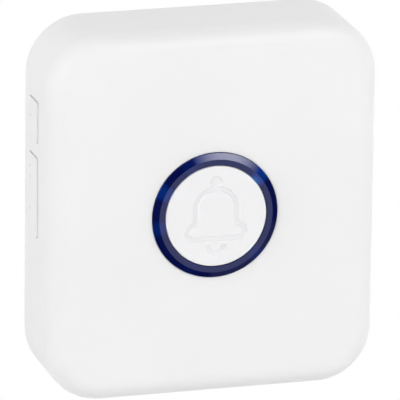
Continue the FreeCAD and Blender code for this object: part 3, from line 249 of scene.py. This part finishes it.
class Look(Nodes):
    """A material being made: its shader, and nodes fed by the piece's own coordinates in metres."""

    def __init__(self, name, **sockets):
        self.material = bpy.data.materials.new(name)
        self.material.use_nodes = True
        super().__init__(self.material.node_tree)
        self.shader = self.tree.nodes["Principled BSDF"]
        self.place = self.add("ShaderNodeTexCoord").outputs["Object"]
        for socket, value in sockets.items():
            self.set(socket.replace("_", " "), value)

    def set(self, socket, source):
        self.feed(self.shader.inputs[socket], source)

    def noise(self, size, detail=2.0, scale=(1, 1, 1)):
        """Noise with grains of about that size, longer along an axis whose scale is below 1."""
        place = self.place
        if scale != (1, 1, 1):
            place = self.add("ShaderNodeMapping", {"Vector": place, "Scale": scale}).outputs[0]
        feeds = {"Vector": place, "Scale": 1 / size, "Detail": detail}
        return self.add("ShaderNodeTexNoise", feeds).outputs["Fac"]

    def cells(self, size):
        """The distance to the nearest of scattered points, as a share of that size."""
        feeds = {"Vector": self.place, "Scale": 1 / size}
        return self.add("ShaderNodeTexVoronoi", feeds).outputs["Distance"]

    def mix(self, factor, low, high):
        """One colour turning into another."""
        node = self.add("ShaderNodeMix", data_type="RGBA")
        self.feed(node.inputs["Factor"], factor)
        for socket, colour in zip([s for s in node.inputs if s.type == "RGBA"], (low, high)):
            self.feed(socket, colour)
        return next(s for s in node.outputs if s.type == "RGBA")

    def away_from(self, point, keep):
        """The distance from a point, along the axes whose share to keep is 1."""
        offset = [-part * share for part, share in zip(point, keep)]
        feeds = {"Vector": self.place, "Location": offset, "Scale": keep}
        flat = self.add("ShaderNodeMapping", feeds).outputs[0]
        return self.add("ShaderNodeVectorMath", {0: flat}, operation="LENGTH").outputs["Value"]

    def outwards(self):
        """The direction that the surface faces."""
        return self.add("ShaderNodeNewGeometry").outputs["Normal"]

    def edges(self):
        """1 along edges, 0 on flats and broad curves."""
        blurred = self.add("ShaderNodeBevel", {"Radius": EDGE_REACH}).outputs["Normal"]
        feeds = {0: blurred, 1: self.outwards()}
        alike = self.add("ShaderNodeVectorMath", feeds, operation="DOT_PRODUCT").outputs["Value"]
        return self.between(alike, 1.0, 0.0, EDGE_ALIKE, FLAT_ALIKE)

    def spread_light(self):
        """Lets a share of the light wander inside the plastic, in all colours alike."""
        self.set("Subsurface Weight", INNER_LIGHT)
        self.set("Subsurface Radius", (1.0, 1.0, 1.0))
        self.set("Subsurface Scale", INNER_REACH)

    def tint(self, factor, colour):
        """Turns the base colour into another one."""
        base = self.shader.inputs["Base Color"].links[0].from_socket
        self.set("Base Color", self.mix(factor, base, colour))

    def bump(self, height, depth):
        """Relief of that depth, on top of what is there already."""
        node = self.add("ShaderNodeBump", {"Height": height, "Distance": depth})
        normal = self.shader.inputs["Normal"]
        if normal.links:
            self.feed(node.inputs["Normal"], normal.links[0].from_socket)
        self.set("Normal", node.outputs["Normal"])


def shade(colour, share):
    return tuple(share * part for part in colour)


def moulded(name, colour, roughness=0.4, grain=0.35 * MM, depth=4 * MICRON, unevenness=0.985):
    """Injection-moulded plastic: a fine eroded grain, a slightly uneven tone and gloss, polished edges."""
    look = Look(name, IOR=PLASTIC_IOR)
    tone = look.between(look.noise(TONE_PATCH), 0.0, 1.0)
    look.set("Base Color", look.mix(tone, shade(colour, unevenness), colour))
    gloss = look.noise(GLOSS_PATCH, 3.0)
    patches = look.between(gloss, roughness - GLOSS_BELOW, roughness + GLOSS_ABOVE)
    polish = look.math("MULTIPLY", look.edges(), EDGE_POLISH)
    look.set("Roughness", look.math("ADD", patches, polish))
    look.bump(look.noise(grain), depth)
    return look


def housing_plastic():
    """The covers' white plastic, with faint vertical flow marks."""
    look = moulded("housing_white", (0.857, 0.857, 0.857))
    look.spread_light()
    flow = look.noise(9 * MM, 3.0, scale=(1, 1, 0.25))
    look.bump(flow, 6 * MICRON)
    return look.material


def button_plastic():
    """White plastic like the housing's, with dots of painted shade along the side buttons' rear edge."""
    look = moulded("button_white", (0.852, 0.85, 0.861), roughness=0.34, depth=2 * MICRON)
    look.spread_light()
    # Painted shade: grey dots where the gap behind the side buttons casts its shadow.
    dot_shade = 0.0
    for depth, height in GAP_SHADE_DOTS:
        away = look.away_from((0, depth * MM, height * MM), keep=(0, 1, 1))
        dot = look.between(away, 1.0, 0.0, DOT_RADIUS, DOT_OUTSIDE)
        dot_shade = look.math("MAXIMUM", dot, dot_shade)
    outside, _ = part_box("volume_button")
    across = look.split(look.place)["X"]
    side = look.between(across, 1.0, 0.0, outside.x + SHADE_FADES, outside.x + SHADE_GONE)
    look.tint(look.math("MULTIPLY", dot_shade, side), DOT_SHADE)
    return look.material


def ring_plastic():
    """Navy translucent plastic, with the glow of the lamps behind it painted in as emission, and painted
    light in the colour of its band and of the top stretch of its bevel.
    """
    look = Look("ring_navy", IOR=PLASTIC_IOR)
    centre = centre_of("light_ring")
    place = look.split(look.place)
    right = look.math("SUBTRACT", place["X"], centre.x)
    up = look.math("SUBTRACT", place["Z"], centre.z)
    angle = look.math("ARCTAN2", up, right)
    radius = look.away_from(centre, keep=(1, 0, 1))
    bevel = look.between(radius, 0.0, 1.0, RING_BEND - BEND_BLUR, RING_BEND + BEND_BLUR)

    def near(middle, core, reach):
        """1 near that angle round the ring, 0 beyond its reach."""
        nearness = look.math("COSINE", look.math("SUBTRACT", angle, middle))
        return look.between(nearness, 0.0, 1.0, math.cos(reach), math.cos(core))

    # Painted glow: emission spots round the ring where the lamps sit, standing in for their light shining
    # through.
    spots = [near(math.radians(middle), GLOW_CORE, GLOW_REACH) for middle, _ in RING_GLOWS]
    glow = 0.0
    for spot, (_, strength) in zip(spots, RING_GLOWS):
        glow = look.math("MAXIMUM", look.math("MULTIPLY", spot, strength), glow)
    painted_glow_unevenness = look.between(look.noise(3 * MM), 0.8, 1.1)
    # Painted light leaking out along the inner edge by the first lamp.
    inside = look.between(radius, 1.0, 0.0, RING_INSIDE + LEAK_CORE, RING_INSIDE + LEAK_REACH)
    leak = look.math("MULTIPLY", inside, spots[0])
    gain = look.between(leak, 1.0, 1.0 + LEAK_GAIN, 0.0, 1.0)
    glow = look.math("MULTIPLY", look.math("MULTIPLY", glow, painted_glow_unevenness), gain)
    # Painted light: the stretch of the bevel that light from above shines through, as a brighter navy.
    bright = near(PAINTED_LIGHT_MIDDLE, PAINTED_LIGHT_CORE, PAINTED_LIGHT_REACH)
    slope = look.mix(bright, BEVEL_NAVY, PAINTED_LIGHT_NAVY)
    # The band gets a lighter navy than the bevel: painted light.
    look.set("Base Color", look.mix(bevel, BAND_NAVY, slope))
    # The painted glow and leak, as emission.
    look.set("Emission Color", look.mix(leak, GLOW_COLOUR, LEAK_COLOUR))
    look.set("Emission Strength", look.math("MULTIPLY", glow, GLOW_LEVEL))
    look.set("Roughness", look.between(look.noise(2 * MM, 4.0), 0.06, 0.11))
    look.bump(look.noise(0.8 * MM), 0.6 * MICRON)
    return look.material


def diffuser_plastic():
    look = moulded("milky_plastic", (0.78, 0.8, 0.85), roughness=0.5)
    look.spread_light()
    return look.material


def lamp_epoxy():
    """Small surface lamps: pale bodies with blue, faintly lit cores."""
    look = Look("lamp", IOR=1.52, Roughness=0.25)
    core = look.between(look.cells(1.2 * MM), 1.0, 0.0, 0.1, 0.6)
    look.set("Base Color", look.mix(core, (0.75, 0.76, 0.8), (0.2, 0.35, 0.95)))
    look.set("Emission Color", (0.2, 0.35, 1.0))
    look.set("Emission Strength", look.math("MULTIPLY", core, 0.4))
    look.bump(look.noise(0.4 * MM), 3 * MICRON)
    return look.material


def worn_metal(name, colour, roughness, lines=(1, 1, 1), depth=2 * MICRON):
    """Metal with a fine grain or drawing lines, small stains and brighter edges."""
    look = Look(name, Metallic=1.0)
    lay = look.noise(LINE_SIZE, 3.0, scale=lines)
    stain = look.between(look.noise(STAIN_SIZE, 4.0), 0.0, 1.0, STAIN_STARTS, STAIN_FULL)
    body = look.mix(stain, colour, shade(colour, STAIN_SHADE))
    look.set("Base Color", look.mix(look.edges(), body, shade(colour, EDGE_SHADE)))
    rub = look.between(lay, roughness - LINES_BELOW, roughness + LINES_ABOVE)
    stained = look.math("MULTIPLY", stain, STAIN_ROUGHNESS)
    look.set("Roughness", look.math("ADD", rub, stained))
    look.bump(lay, depth)
    return look.material


def nickel():
    return worn_metal("nickel", (0.78, 0.76, 0.72), 0.22, lines=(1, 0.06, 1))


def steel():
    return worn_metal("steel", (0.6, 0.61, 0.63), 0.32)


def copper():
    return worn_metal("copper", (0.78, 0.42, 0.24), 0.3)


def rubbery(name, colour, roughness=0.6):
    """Dark plastic with a coarser grain and some dust."""
    look = moulded(name, colour, roughness, grain=0.25 * MM, depth=8 * MICRON, unevenness=0.8)
    dust = look.between(look.noise(DUST_SIZE, 5.0), 0.0, DUST_SHARE, DUST_STARTS, DUST_FULL)
    look.tint(dust, DUST_GREY)
    return look.material


def sleeve_plastic():
    return rubbery("sleeve_black", (0.03, 0.03, 0.032), 0.5)


def black_plastic():
    return rubbery("black_plastic", (0.028, 0.028, 0.03))


def plunger_plastic():
    return moulded("plunger_grey", (0.12, 0.125, 0.14), 0.42).material


def board():
    """Green solder mask over copper tracks, on woven glass."""
    look = Look("board_green", IOR=PLASTIC_IOR, Roughness=0.3)
    upright = {"Vector": look.place, "Rotation": (math.pi / 2, 0, 0)}
    bricks = {
        "Vector": look.add("ShaderNodeMapping", upright).outputs[0],
        "Scale": 1 / TRACK_SCALE,
        "Mortar Size": TRACK_WIDTH,
        "Mortar Smooth": TRACK_SOFTNESS,
        "Row Height": TRACK_ROW,
    }
    tracks = look.add("ShaderNodeTexBrick", bricks).outputs["Fac"]
    weave = look.cells(WEAVE_SIZE)
    threads = look.between(weave, 0.0, 1.0, 0.0, 0.9)
    green = look.mix(threads, (0.012, 0.13, 0.045), (0.018, 0.17, 0.06))
    look.set("Base Color", look.mix(tracks, green, (0.04, 0.3, 0.09)))
    look.bump(tracks, TRACK_HEIGHT)
    look.bump(weave, WEAVE_HEIGHT)
    return look.material


def foam():
    """The speaker's gasket, with open pores."""
    look = Look("foam", Roughness=0.95)
    pores = look.cells(0.5 * MM)
    look.set("Base Color", look.mix(pores, (0.008, 0.007, 0.007), (0.03, 0.028, 0.026)))
    look.bump(pores, 120 * MICRON)
    return look.material


def paper():
    """The speaker's pressed paper, with its fibres."""
    look = Look("paper_cone", Roughness=0.85)
    fibres = look.noise(0.6 * MM, 6.0, scale=(1, 1, 4))
    tone = look.between(fibres, 0.0, 1.0)
    look.set("Base Color", look.mix(tone, (0.02, 0.019, 0.017), (0.06, 0.055, 0.05)))
    look.bump(fibres, 30 * MICRON)
    return look.material


def lead_cover():
    return moulded("lead_insulation", (0.55, 0.03, 0.03), 0.45, grain=0.6 * MM, depth=6 * MICRON).material


def film():
    return moulded("film_yellow", (0.75, 0.42, 0.03), 0.35, grain=0.8 * MM, unevenness=0.9).material


def can_wrap():
    """The shrunk sleeve of an electrolytic capacitor, with a light stripe on its right."""
    look = moulded("can_dark", (0.012, 0.016, 0.04), 0.28, grain=0.7 * MM, unevenness=0.8)
    rightwards = look.split(look.outwards())["X"]
    stripe = look.between(rightwards, 0.0, 1.0, STRIPE_STARTS, STRIPE_FULL)
    look.tint(stripe, (0.55, 0.56, 0.58))
    return look.material


def ferrite():
    dark = (0.03, 0.03, 0.033)
    return moulded("ferrite", dark, 0.7, grain=0.3 * MM, depth=25 * MICRON, unevenness=0.7).material


def glaze(name, colour):
    """Dipped ceramic: glossy, with a slight orange peel."""
    look = Look(name, IOR=PLASTIC_IOR)
    peel = look.noise(1.2 * MM)
    look.set("Base Color", look.mix(look.between(peel, 0.0, 1.0), shade(colour, 0.8), colour))
    look.set("Roughness", look.between(peel, 0.2, 0.35))
    look.bump(peel, 20 * MICRON)
    return look.material


def blue_glaze():
    return glaze("ceramic_blue", (0.01, 0.04, 0.24))


def green_glaze():
    return glaze("ceramic_green", (0.04, 0.15, 0.09))


FINISHES = {
    housing_plastic: ["front_cover", "rear_cover"],
    button_plastic: ["bell_button", "volume_button", "melody_rocker"],
    ring_plastic: ["light_ring"],
    diffuser_plastic: ["ring_diffuser"],
    lamp_epoxy: ["ring_lamps"],
    nickel: ["plug_pins"],
    sleeve_plastic: ["pin_sleeves"],
    steel: [
        "housing_screws",
        "rocker_pin",
        "board_screws",
        "speaker_frame",
        "speaker_magnet",
        "clamp_screw",
        "radio_crystal",
    ],
    black_plastic: [
        "bell_switch",
        "volume_switch",
        "melody_switches",
        "side_header",
        "pin_clamp",
        "rectifier_diodes",
        "controller_chip",
        "melody_chip",
        "radio_chip",
    ],
    plunger_plastic: ["bell_plunger", "volume_plunger", "melody_plungers"],
    board: ["main_board", "side_board", "radio_board"],
    foam: ["speaker_gasket"],
    paper: ["speaker_cone"],
    lead_cover: ["speaker_leads", "mains_leads"],
    film: ["film_capacitor"],
    can_wrap: ["reservoir_capacitor", "filter_capacitor"],
    ferrite: ["drum_inductor"],
    blue_glaze: ["varistor"],
    green_glaze: ["fuse_resistor"],
    copper: ["coil_antenna"],
}


def dress_nodes():
    """Gives each CAD node its material."""
    for finish, names in FINISHES.items():
        material = finish()
        for name in names:
            for slot in NODES[name].material_slots:
                slot.material = material


# Studio


def camera():
    """The camera at the photograph's angle, distance and lens."""
    low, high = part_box("front_cover")
    rear_centre = Vector(((low.x + high.x) / 2, high.y, (low.z + high.z) / 2))
    back = direction(CAMERA_AZIMUTH, CAMERA_ELEVATION)
    turn = facing(back, CAMERA_ROLL)
    across, up = turn.col[0], turn.col[1]
    aim = rear_centre + CAMERA_AIM_RIGHT * across + CAMERA_AIM_UP * up
    data = bpy.data.cameras.new("camera")
    data.lens = CAMERA_LENS
    data.sensor_width = CAMERA_SENSOR
    bpy.context.scene.camera = put("camera", data, aim + CAMERA_DISTANCE * back, turn)


def softbox(name, azimuth, elevation, width, height, tilt, level, kind):
    """A panel lamp that the camera doesn't see."""
    data = bpy.data.lights.new(name, "AREA")
    data.shape = "RECTANGLE"
    data.size = 2 * LAMP_DISTANCE * math.tan(math.radians(width / 2))
    data.size_y = 2 * LAMP_DISTANCE * math.tan(math.radians(height / 2))
    data.energy = level * math.pi * data.size * data.size_y
    if kind == "faded":
        fade_ends(data)
    back = direction(math.radians(azimuth), math.radians(elevation))
    place = centre_of("front_cover") + LAMP_DISTANCE * back
    lamp = put(name, data, place, facing(back, math.radians(tilt)))
    lamp.visible_camera = False
    lamp.visible_glossy = kind != "fill"


def fade_ends(lamp):
    """Dims a lamp towards both ends of its width."""
    lamp.use_nodes = True
    nodes = Nodes(lamp.node_tree)
    across = nodes.split(nodes.add("ShaderNodeNewGeometry").outputs["Parametric"])["X"]
    off_centre = nodes.math("ABSOLUTE", nodes.math("SUBTRACT", across, 0.5))
    ends = {"start": 0.5, "end": FADED_MIDDLE}
    level = nodes.between(off_centre, FADED_LEVEL, 1.0, **ends, interpolation_type="SMOOTHSTEP")
    nodes.feed(nodes.tree.nodes["Emission"].inputs["Strength"], level)


def is_ray(nodes, *kinds):
    """1 for a ray of one of those kinds."""
    path = nodes.add("ShaderNodeLightPath").outputs
    found = path[f"Is {kinds[0]} Ray"]
    for kind in kinds[1:]:
        found = nodes.math("MAXIMUM", found, path[f"Is {kind} Ray"])
    return found


def shader_by(nodes, factor, first, second):
    return nodes.add("ShaderNodeMixShader", {0: factor, 1: first, 2: second}).outputs[0]


def white(nodes, kind, strength=WHITE):
    return nodes.add(kind, {"Color": (1, 1, 1), "Strength": strength}).outputs[0]


def front_to_back(nodes, front, behind):
    """White light whose level turns from one in front of the object to another behind it."""
    towards_back = nodes.split(nodes.add("ShaderNodeTexCoord").outputs["Generated"])["Y"]
    turn = {"start": TURN_START, "end": TURN_END}
    level = nodes.between(towards_back, front, behind, **turn, interpolation_type="SMOOTHSTEP")
    return white(nodes, "ShaderNodeBackground", level)


def room():
    """A light tent for matt surfaces, a studio for reflections, and plain white for the camera."""
    world = bpy.data.worlds.new("studio")
    world.use_nodes = True
    nodes = Nodes(world.node_tree)
    tent = front_to_back(nodes, TENT_FRONT, TENT_BEHIND)
    reflected = front_to_back(nodes, STUDIO_REFLECTION, BACKDROP_REFLECTION)
    lit = shader_by(nodes, is_ray(nodes, "Glossy", "Transmission"), tent, reflected)
    seen = white(nodes, "ShaderNodeBackground")
    surface = shader_by(nodes, is_ray(nodes, "Camera"), lit, seen)
    nodes.feed(nodes.tree.nodes["World Output"].inputs["Surface"], surface)
    bpy.context.scene.world = world


def floor():
    """The pale floor, white to a camera above it and clear to one below it."""
    low, _ = CAD_BOX
    half = FLOOR_SIZE / 2
    mesh = bpy.data.meshes.new("floor")
    corners = [(-half, -half, 0), (half, -half, 0), (half, half, 0), (-half, half, 0)]
    mesh.from_pydata(corners, [], [(0, 1, 2, 3)])
    look = Look("floor_white", Roughness=FLOOR_ROUGHNESS)
    look.set("Base Color", (FLOOR_GREY, FLOOR_GREY, FLOOR_GREY))
    beneath = look.add("ShaderNodeNewGeometry").outputs["Backfacing"]
    clear = look.add("ShaderNodeBsdfTransparent").outputs[0]
    seen = shader_by(look, beneath, white(look, "ShaderNodeEmission"), clear)
    surface = shader_by(look, is_ray(look, "Camera"), look.shader.outputs[0], seen)
    look.feed(look.tree.nodes["Material Output"].inputs["Surface"], surface)
    mesh.materials.append(look.material)
    plane = put("floor", mesh, Vector((0, 0, low.z - FLOOR_DROP)), Matrix.Identity(3))
    plane.visible_glossy = False


bpy.context.scene.view_settings.view_transform = "Standard"
dress_nodes()
camera()
for lamp in LAMPS:
    softbox(*lamp)
room()
floor()
